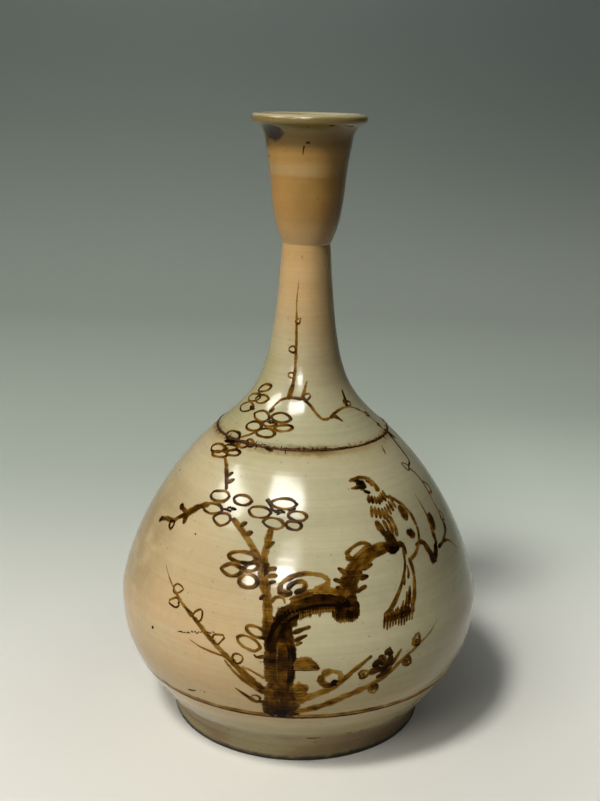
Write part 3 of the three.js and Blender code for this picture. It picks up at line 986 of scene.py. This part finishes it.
blossoms.strokes(
    ([(-61, 173.5), (-56, 172.4), (-51.5, 173)], (1.4, 2.0, 1.2), (0.6, 0.8, 0.5)),
    ([(-34, 173.4), (-31.6, 174), (-29.5, 175.5)], (2.4, 1.8, 1.0), (0.85, 0.7, 0.5)),
    ([(-46, 160.9), (-41, 162.5), (-36, 164.5)], (1.6, 2.2, 1.6), (0.5, 0.55, 0.5)),
    ([(-57, 157.6), (-51, 158.4), (-45.5, 159)], (1.8, 3.2, 2.0), (0.8, 1.0, 0.8)),
    ([(-15.5, 139.5), (-13.5, 138.0), (-11.5, 135.5), (-8.5, 135.0)], (1.6, 1.4, 2.2), (0.7, 0.6, 0.9)),
    ([(-5.5, 136.0), (-3.6, 136.2), (-2.0, 137.0)], (1.4, 1.5, 1.8), (0.7, 0.6, 0.8)),
    ([(-20.6, 112.8), (-18.4, 112.6), (-15.8, 113.0)], (1.8, 2.4, 1.6), (0.8, 0.9, 0.8)),
)
for place in (
    (-15.2, 217, 2.8, 60), (-13.2, 204, 3.8, 180), (-12.8, 191.4, 3.2, 180), (0.4, 180.8, 3.8, 28),
    (51.6, 176.6, 3.4, -20), (70.5, 169.4, 3.2, -30), (75, 164, 3.2, -60), (67.4, 144, 4.8, 130),
    (74, 130, 6.4, 110), (70.4, 117, 4.8, 80), (-56.4, 120.4, 4.4, -78, 2.0, 0.62),
):
    blossoms.bud(*place)
blossoms.done("painted_blossoms", pigment)


# Half-open blossoms and leaves
# Fuller touches where the brush was pressed down: a flat blossom over the arch, a ringed one beside the right
# spray, a dark one at its fork, and two leaves on the trunk's right side.

leaves = Painting(seed=6)
leaves.strokes(
    ([(-5.8, 106), (-1.5, 109.4), (3.6, 110.4), (8.8, 108.6), (9, 105.4), (4.6, 102.6)],
     (3, 2.8, 5), (0.3, 0.28, 0.38)),
    ([(4.6, 102.8), (0.6, 100.6), (-3, 99.2)], (4.6, 4, 2.2), (0.5, 0.7, 0.6)),
    ([(-5.6, 106.6), (-6, 102.6), (-4, 101.6), (-2, 102.6)], (3.6, 4, 3), (0.32, 0.38, 0.65)),
    ([(-3.8, 103.4), (-1.6, 106.4), (1.6, 106.8), (1.6, 103.6), (-1.6, 102.2)],
     (3, 2.6, 3.6), (0.65, 0.42, 0.8)),
    ([(-8.6, 97), (-7.2, 99.8), (-4.8, 99.8), (-4.2, 97)], (2.2, 2, 1.6), (0.4, 0.3, 0.3)),
    ([(-1, 69), (1.6, 71.2), (4, 70), (6.4, 67.2)], (5, 7, 1.4), (0.42, 0.32, 0.5)),
    ([(-1, 67.4), (2, 67.8), (6, 66.8)], (3, 3, 1), (0.5, 0.45, 0.55)),
    ([(-1, 55), (1.2, 57.4), (3, 55)], (7, 9, 6), (0.45, 0.4, 0.45)),
    ([(-1, 53), (1.4, 53), (3, 54.4)], (5, 5, 3), (0.5, 0.45, 0.4)),
    ([(7, 64), (9.6, 65.8), (12.4, 64), (12.6, 60)], (5, 3.6, 4.6), (0.4, 0.3, 0.5)),
    ([(7, 64.4), (7, 60.4), (9, 57.8), (11.8, 58.4)], (3.6, 4.4, 4.6), (0.4, 0.5, 0.85)),
    ([(9.8, 59.2), (11.8, 60.4)], (3.6, 4.6, 3.6), (0.9, 1.0, 0.9)),
    ([(22, 65.6), (24.2, 67.6), (25.6, 65.4)], (4, 4.6, 3), (0.6, 0.62, 0.8)),
    ([(25.8, 71), (27.8, 72.6), (27.6, 69)], (4, 4.6, 3), (0.6, 0.6, 0.7)),
    ([(23.8, 70.6), (25.2, 69), (26.2, 66)], (4.4, 4, 3), (0.65, 0.6, 0.8)),
    ([(20.8, 62.2), (23.2, 63.6), (25.6, 63.4)], (4.6, 4.4, 3.4), (0.6, 0.62, 0.85)),
    ([(25.2, 60.6), (26.6, 63.6), (27.4, 66.6), (28.4, 70)], (5.4, 6, 2.4), (0.85, 0.95, 0.6)),
    ([(27, 64), (29.2, 66.6), (31, 71)], (4, 3, 2.4), (0.85, 0.55, 0.5)),
    ([(23.4, 59.4), (26, 60.4), (28.4, 63.4)], (3.6, 4.6, 3), (0.7, 0.85, 0.6)),
    ([(-9.2, 73.4), (-11.4, 72), (-12.6, 73.4)], (1.8, 1.8, 1.2), (0.35, 0.3, 0.3)),
)
leaves.done("painted_leaves", pigment)


# Bird
# A long-tailed bird perched on the bough and looking left. The head is one loaded dab with an open beak, the
# breast is rows of short feathers, and the back, wing and tail are outlined and filled with hatching.

TAIL_HATCHING = 11

bird = Painting(seed=7)
bird.strokes(
    ([(23.6, 146.6), (26.4, 147), (29.6, 145.8)], (1.6, 3, 3.6), (0.35, 0.55, 0.9)),
    ([(23.6, 143.8), (26.4, 143.8), (29, 144)], (1.3, 2.2, 3.2), (0.3, 0.5, 0.9)),
    ([(26.8, 145.2), (29.4, 144.6), (32, 143.4)], (4.4, 7, 4.4), (0.7, 1.0, 0.9)),
    ([(25.2, 146.6), (29.2, 147.6), (33.4, 146.8), (36.6, 144), (37.4, 140.6)],
     (1.8, 2.6, 4), (0.4, 0.42, 0.5)),
    ([(32.6, 146.2), (34.4, 145), (35.4, 143.2)], (1.6, 1.8, 1.8), (0.55, 0.45, 0.45)),
    ([(29.4, 142.4), (31.4, 141.4), (33, 141)], (1.8, 2.8, 2.2), (0.55, 0.85, 0.75)),
    ([(40.4, 138), (43.8, 136.2), (47.2, 132.6), (49.6, 128), (50, 122.6)],
     (2.2, 2.4, 2.2), (0.5, 0.45, 0.5)),
    ([(50, 122.6), (49.4, 119), (47.4, 115.2), (44, 111.6), (40.8, 110)], (2.2, 2, 2.8), (0.5, 0.4, 0.5)),
    ([(44.4, 133), (46, 129.8), (46, 126)], (4, 6, 4.4), (0.45, 0.62, 0.7)),
    ([(43.4, 122), (45.6, 120.4), (47.6, 119.6)], (4.4, 6, 5), (0.5, 0.8, 0.8)),
    ([(30.8, 129.6), (32, 126.4), (33.8, 122.4)], (3, 4.6, 4.4), (0.5, 0.55, 0.8)),
    ([(34, 129.4), (35, 126.4), (35.2, 123)], (1.8, 2.4, 2.8), (0.42, 0.45, 0.65)),
    ([(36, 130.2), (37, 126.6), (36.8, 122.6)], (1.8, 2.4, 2.6), (0.42, 0.42, 0.65)),
    ([(37.8, 130.4), (39, 126), (38.4, 121)], (2.2, 2.6, 2.8), (0.5, 0.42, 0.6)),
    ([(34, 124.4), (35.4, 120.6), (36.4, 117)], (4.4, 7, 6), (0.85, 1.0, 0.95)),
    ([(31.4, 118.4), (34.6, 116.6), (38, 117)], (4.4, 6.4, 4.4), (0.7, 0.95, 0.85)),
    ([(39.4, 116), (38, 108), (34.6, 100.4), (30.6, 93.4), (26.6, 88)], (1.8, 2.1, 3.6), (0.45, 0.4, 0.6)),
    ([(40.6, 111.2), (41, 105), (39.8, 98), (38, 91.4), (36.8, 87)], (2.4, 2.4, 4), (0.5, 0.42, 0.65)),
    ([(39, 108.4), (38.8, 104.8), (38, 102.4)], (0.9, 1.6, 2), (0.35, 0.5, 0.7)),
    ([(37.4, 105.8), (36.6, 102.8), (35.8, 100)], (0.8, 1.3, 1.7), (0.35, 0.42, 0.6)),
    ([(38, 99.4), (37.2, 95.6), (36, 91)], (1.4, 2.4, 3), (0.35, 0.5, 0.7)),
    ([(36.4, 97.4), (35.6, 93.6), (34.4, 89.6)], (1.1, 1.8, 2.2), (0.35, 0.45, 0.65)),
    ([(34.4, 94), (33.6, 91.4), (32.4, 88)], (1, 1.6, 2), (0.35, 0.45, 0.65)),
    ([(32, 92), (31.4, 90), (30.6, 87.6)], (1, 1.4, 1.8), (0.35, 0.45, 0.6)),
    ([(27.4, 87.6), (31.6, 88), (36.6, 89.4)], (5, 5.4, 6.4), (0.5, 0.65, 0.85)),
)
for row, row_middle, row_end, count, length, spread in (
    ((31.4, 140.4), (35.6, 139), (39.4, 141), 7, 3.6, 1.8),
    ((31, 136), (36.4, 133.8), (41.8, 137.4), 8, 5, 2.6),
    ((39, 139.6), (41, 139.2), (42.6, 138.4), 2, 3.6, -0.4),
):
    for i in range(count):
        share = i / (count - 1)
        angle, top = (three((row[k], row_middle[k], row_end[k]), share) for k in (0, 1))
        tilt = spread * (share - 0.5) * -1
        foot = (angle - tilt, top - length)
        feather = [(angle, top), (angle - tilt * 0.4, top - length * 0.5), foot]
        bird.stroke(feather, (1.3, 2.5, 2), (0.3, 0.5, 0.62))
for i in range(TAIL_HATCHING):
    share = i / (TAIL_HATCHING - 1)
    angle = 26.6 + 10.2 * share
    top = 90.6 + 1.6 * share
    low = 82.6 + bird.random.uniform(-0.8, 0.8) + share
    bird.stroke([(angle + 0.4, top), (angle, 86.8), (angle - 0.5, low)], (1.0, 1.8, 1.2), (0.4, 0.7, 0.42))
bird.done("painted_bird", pigment)


# Kiln marks
# Flaws of the firing: dark runs off the shoulder seam, dashes under the lip, a black dot and a scratch on the
# left of the belly, and a hair crack through the foot of the trunk.

SEAM_LINE = SEAM[1] * 1000
SEAM_SPURS = 250
SCRATCH_CHIPS = 26

marks = Painting(seed=8)
marks.strokes(
    ([(-66, 313), (-69, 307), (-69.6, 304)], (1.8, 1.2, 0.8), (0.8, 0.7, 0.4)),
    ([(-72, 299.4), (-68, 299.2)], (0.9, 1.4, 0.9), (0.6, 0.7, 0.6)),
    ([(-4.6, 306.6), (-1, 306.8), (1.6, 306.4)], (0.7, 1.3, 0.7), (0.8, 1.0, 0.8)),
    ([(-6.2, 305.4), (-7, 303.4), (-8, 300.8)], (1, 0.8, 0.5), (0.9, 0.7, 0.4)),
    ([(-1.6, 314.6), (-1, 312.6)], (1, 0.8, 0.5), (0.7, 0.6, 0.3)),
    ([(20.6, 314.9), (24, 315), (27.6, 314.9)], (0.6, 1.2, 0.6), (0.8, 0.95, 0.6)),
    ([(42, 314.8), (49, 314.7), (56, 314.7)], (0.6, 1.0, 0.6), (0.7, 0.9, 0.6)),
    ([(-49.3, 71.6), (-49, 69.8)], (2.0, 2.8, 2.0), (1.0, 1.1, 1.0)),
    ([(-9.4, 66.9), (-3, 66.7), (5.8, 66.9)], (0.5, 0.7, 0.5), (1.1, 1.1, 1.0)),
    ([(57.8, 157), (56.6, 155.2), (55.6, 153.2)], (1, 1.7, 0.9), (0.1, 0.36, 0.08)),
    ([(77, 160.6), (80, 157.6), (82, 155)], (4.4, 3.6, 2.2), (0.9, 0.8, 0.6)),
    ([(-26.4, 160.4), (-22.6, 159.4), (-18, 158.4)], (1.6, 3, 1.8), (0.6, 0.75, 0.4)),
    ([(-28, 15.8), (-27.6, 15)], (1.4, 1.5, 1.4), (0.9, 1.0, 0.9)),
    ([(4, 17.8), (7, 17.4), (10, 17.8)], (1.2, 1.8, 1.2), (0.45, 0.6, 0.45)),
    ([(7, 13.2), (9, 13)], (1.2, 1.5, 1.2), (0.4, 0.5, 0.4)),
    ([(19.6, 18.8), (22, 18.6)], (1, 1.4, 1), (0.5, 0.6, 0.5)),
    ([(25, 18.8), (27, 19)], (0.9, 1.2, 0.9), (0.5, 0.55, 0.5)),
    ([(-36.4, 42.6), (-34, 43.6), (-32.6, 44.4)], (1, 1.3, 0.9), (0.4, 0.5, 0.35)),
    ([(-29.6, 45.4), (-29, 45.6)], (1, 1.1, 1), (0.4, 0.45, 0.4)),
    ([(-77, 138), (-76, 137)], (0.9, 1.5, 0.9), (0.3, 0.45, 0.2)),
    ([(-42, 119.6), (-41, 119)], (0.8, 1.0, 0.8), (0.3, 0.4, 0.2)),
)
for i in range(SEAM_SPURS):
    angle = -180 + 360 * (i + marks.random.random()) / SEAM_SPURS
    up = marks.random.choice((1, 1, 1, -1)) * marks.random.uniform(0.3, 1.0) ** 3 * 1.9
    start = (angle, SEAM_LINE - up * 0.2)
    end = (angle + marks.random.uniform(-1.0, 1.0), SEAM_LINE + up)
    marks.stroke([start, end], (1.1, 0.8, 0.4), (0.9, 0.75, marks.random.uniform(0.2, 0.7)))
for i in range(SCRATCH_CHIPS):
    angle = -38.4 + 13.4 * (i + marks.random.random()) / SCRATCH_CHIPS
    height = 75 + 0.42 * (angle + 38) + marks.random.uniform(-0.5, 0.5)
    size = marks.random.uniform(0.4, 1.1)
    marks.stroke([(angle, height), (angle + size * 0.5, height + 0.1)], (size, size, size), (0.7, 0.9, 0.7))
marks.done("kiln_marks", pigment, "seam_slip")


# Kiln grit
# Grains of the coarse sand that the foot stood on in the kiln, fused along the outer edge of the standing
# face. They are dark like the joining slip, because the fire reached them bare.

GRAINS = 150
GRAIN_SIZES = (0.00018, 0.00042)

grit = bmesh.new()
grains = random.Random(9)
for i in range(GRAINS):
    angle = math.tau * (i + grains.random()) / GRAINS
    size = grains.uniform(*GRAIN_SIZES)
    radius = FOOT_RADIUS - FOOT_EDGE * 0.3
    spot = Vector((radius * math.sin(angle), -radius * math.cos(angle), size + grains.uniform(0, 0.0006)))
    grain = bmesh.ops.create_icosphere(grit, subdivisions=1, radius=size)["verts"]
    bmesh.ops.scale(grit, vec=(1, 1, grains.uniform(0.6, 0.95)), verts=grain)
    bmesh.ops.translate(grit, vec=spot, verts=grain)
add_piece("kiln_grit", grit, crust_material(), "seam_slip")


# Table and backdrop
# One pale sheet that runs under the vase and curves up behind it, greyer the further back it goes as painted
# shade. Its paleness is its own glow as the camera and the glaze see it, so that no lamp has to light it
# white;
# the glow is brighter to the right of the vase as painted light, and weaker round the foot as painted shadow.

SHEET_FRONT = -1.6
SHEET_FLAT = 0.4
SHEET_BEND = 1.1
BEND_RADIUS = 0.7
SHEET_TOP = 2.6
SHEET_WIDTH = 4.8
ROOM_GLOW = 0.085
ROOM_BOUNCE = 0.4

sweep = bmesh.new()
spine = [(SHEET_FRONT, 0.0), (-SHEET_FLAT, 0.0), (SHEET_FLAT, 0.0), (SHEET_BEND, 0.0)]
spine += arc((SHEET_BEND, BEND_RADIUS), BEND_RADIUS, range(-80, 1, 10))
spine.append((SHEET_BEND + BEND_RADIUS, SHEET_TOP))
line = [sweep.verts.new((-SHEET_WIDTH / 2, y, z)) for y, z in spine]
edges = [sweep.edges.new(pair) for pair in zip(line, line[1:])]
swept = bmesh.ops.extrude_edge_only(sweep, edges=edges)["geom"]
far_side = [part for part in swept if isinstance(part, bmesh.types.BMVert)]
bmesh.ops.translate(sweep, vec=(SHEET_WIDTH, 0, 0), verts=far_side)
bmesh.ops.recalc_face_normals(sweep, faces=sweep.faces)
if sweep.faces[:][0].normal.z < 0:
    bmesh.ops.reverse_faces(sweep, faces=sweep.faces)


def sheet_material():
    surface = Surface("pale_sheet")
    right, back = (surface.node("SeparateXYZ", inputs={0: surface.place}, output=axis) for axis in (0, 1))
    far = back + surface.height * 1.2
    # Painted shade: greyer the further back and higher up the sheet, and darker still to the upper right.
    colour = layered(
        srgb(244, 243, 234),
        (far.rise(0.0, 0.42), srgb(213, 223, 209)),
        (far.rise(0.9, 2.45), srgb(127, 139, 133)),
        (far.rise(1.1, 2.1) * right.rise(-0.3, 0.6) * 0.3, srgb(84, 95, 91)),
    )
    colour = surface.noise(3, 14, 2.0).tint(colour, 0.985, 1.015)
    seen, mirrored, through = (
        surface.node("LightPath", output=f"Is {kind} Ray") for kind in ("Camera", "Glossy", "Transmission")
    )
    # Painted light: the sheet's glow is raised to the right of the vase.
    painted_light_right = right.rise(0.06, 0.22) * (back.rise(-0.1, 0.12) * 1.1 + 0.9) * far.rise(0.65, 0.3)
    around_foot = surface.node("VectorMath", {"operation": "LENGTH"}, {0: surface.place}, output="Value")
    # Painted shadow: the glow is weaker close round the foot.
    room = (painted_light_right + around_foot.rise(0.1, 0.2) * 0.6 + 0.4) * (seen + mirrored + through)
    glow = room.tint(colour, 0.0, ROOM_GLOW)
    unlit_room = around_foot.rise(0.2, 0.6) * (1 - seen) * (1 - mirrored)
    colour = unlit_room.tint(colour, 1.0, ROOM_BOUNCE)
    surface.tree.links.new(glow.socket, surface.shader.inputs["Emission Color"])
    surface.shader.inputs["Emission Strength"].default_value = 1.0
    return surface.finish(colour, surface.noise(40, 40) * 0.1 + 0.5, surface.noise(200, 200), 0.0001)


floor_data = bpy.data.meshes.new("pale_sweep")
for face in sweep.faces:
    face.smooth = True
sweep.to_mesh(floor_data)
sweep.free()
floor_data.materials.append(sheet_material())
floor = bpy.data.objects.new("pale_sweep", floor_data)
bpy.context.scene.collection.objects.link(floor)


# Lamps
# A wide soft lamp from the left front shapes the pot, a smaller one above it throws the lip's shadow on
# the cup, and a dim room fills the rest. Six more panels show only in the glaze, as its window-like glints.

AIM = Vector((0, 0, 0.14))
LAMP_DISTANCE = 1.5
LAMP_COLOUR = (1.0, 0.985, 0.95)
ROOM_COLOUR = (0.86, 0.92, 0.9, 1)
ROOM_LIGHT = 0.035


def panel(name, azimuth, elevation, width, height, power, lights=True, glints=True):
    """A flat rectangular lamp that faces the vase. Azimuth is from the front, to the right."""
    lamp = bpy.data.lights.new(name, "AREA")
    lamp.shape = "RECTANGLE"
    lamp.size = width
    lamp.size_y = height
    lamp.energy = power
    lamp.color = LAMP_COLOUR
    holder = bpy.data.objects.new(name, lamp)
    turn, climb = math.radians(azimuth), math.radians(elevation)
    away = Vector((math.sin(turn) * math.cos(climb), -math.cos(turn) * math.cos(climb), math.sin(climb)))
    holder.location = AIM + away * LAMP_DISTANCE
    holder.rotation_euler = away.to_track_quat("Z", "Y").to_euler()
    holder.visible_diffuse = lights
    holder.visible_glossy = glints
    bpy.context.scene.collection.objects.link(holder)


panel("wide_key", -42, 28, 0.9, 0.8, 9, glints=False)
panel("high_key", -34, 57, 0.25, 0.25, 14, glints=False)
for glint in (
    ("window_glint", -75, 41, 0.7, 0.28, 16),
    ("ceiling_glint", -17, 54, 0.66, 0.2, 20),
    ("upper_band_glint", -19, 60.5, 0.6, 0.08, 7),
    ("front_glint", -10, 26.5, 0.3, 0.17, 9),
    ("front_pane_glint", -7, 34, 0.36, 0.2, 2.4),
    ("side_pane_glint", -33, 23.5, 0.2, 0.17, 6),
):
    panel(*glint, lights=False)

world = bpy.data.worlds.new("dim_room")
world.use_nodes = True
background = world.node_tree.nodes["Background"]
background.inputs["Color"].default_value = ROOM_COLOUR
background.inputs["Strength"].default_value = ROOM_LIGHT
bpy.context.scene.world = world
bpy.context.scene.view_settings.view_transform = "Standard"


# Camera
# Held by hand a little under two vase heights away and just above the lip, tipped down and turned a little on
# its side.

CAMERA_PLACE = Vector((-0.00155, -0.586, 0.334))
CAMERA_TIP = math.radians(15.4)
CAMERA_ROLL = math.radians(1.3)
CAMERA_LENS = 51.7
CAMERA_SENSOR = 36

camera_data = bpy.data.cameras.new("camera")
camera_data.lens = CAMERA_LENS
camera_data.sensor_width = CAMERA_SENSOR
camera = bpy.data.objects.new("camera", camera_data)
level = Vector((0, math.cos(CAMERA_TIP), -math.sin(CAMERA_TIP))).to_track_quat("-Z", "Y").to_matrix()
camera.rotation_euler = level.to_euler()
camera.location = CAMERA_PLACE
camera.rotation_euler.rotate_axis("Z", CAMERA_ROLL)
bpy.context.scene.collection.objects.link(camera)
bpy.context.scene.camera = camera
